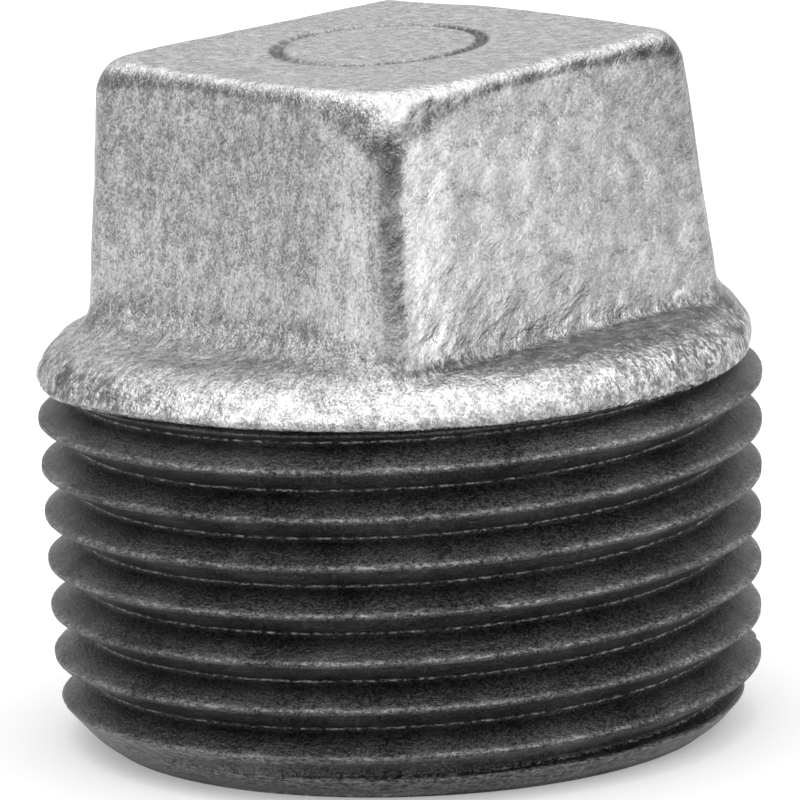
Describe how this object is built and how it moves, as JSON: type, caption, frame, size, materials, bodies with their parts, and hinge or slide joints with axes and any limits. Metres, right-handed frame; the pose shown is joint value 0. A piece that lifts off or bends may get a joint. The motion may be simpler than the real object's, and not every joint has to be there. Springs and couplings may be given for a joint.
{
  "type": "pipe plug",
  "caption": "Cored iron pipe plug with a square wrench head, a round collar and a tapered outside pipe thread; the thread is bare and the head is galvanised.",
  "frame": {"origin": "on the axis of the thread, in the plane of the open threaded end", "axes": "+Z along the axis from the open threaded end to the top of the head; the flats of the head face +X, -X, +Y and -Y"},
  "size_m": [0.0334, 0.0333, 0.032],
  "materials": {
    "galvanised_zinc": "hot-dip zinc coat, bright and uneven",
    "bare_thread": "cut thread, dark and lightly oiled"
  },
  "bodies": {
    "root": {"galvanised_head": "galvanised_zinc", "threaded_shank": "bare_thread"}
  },
  "joints": []
}
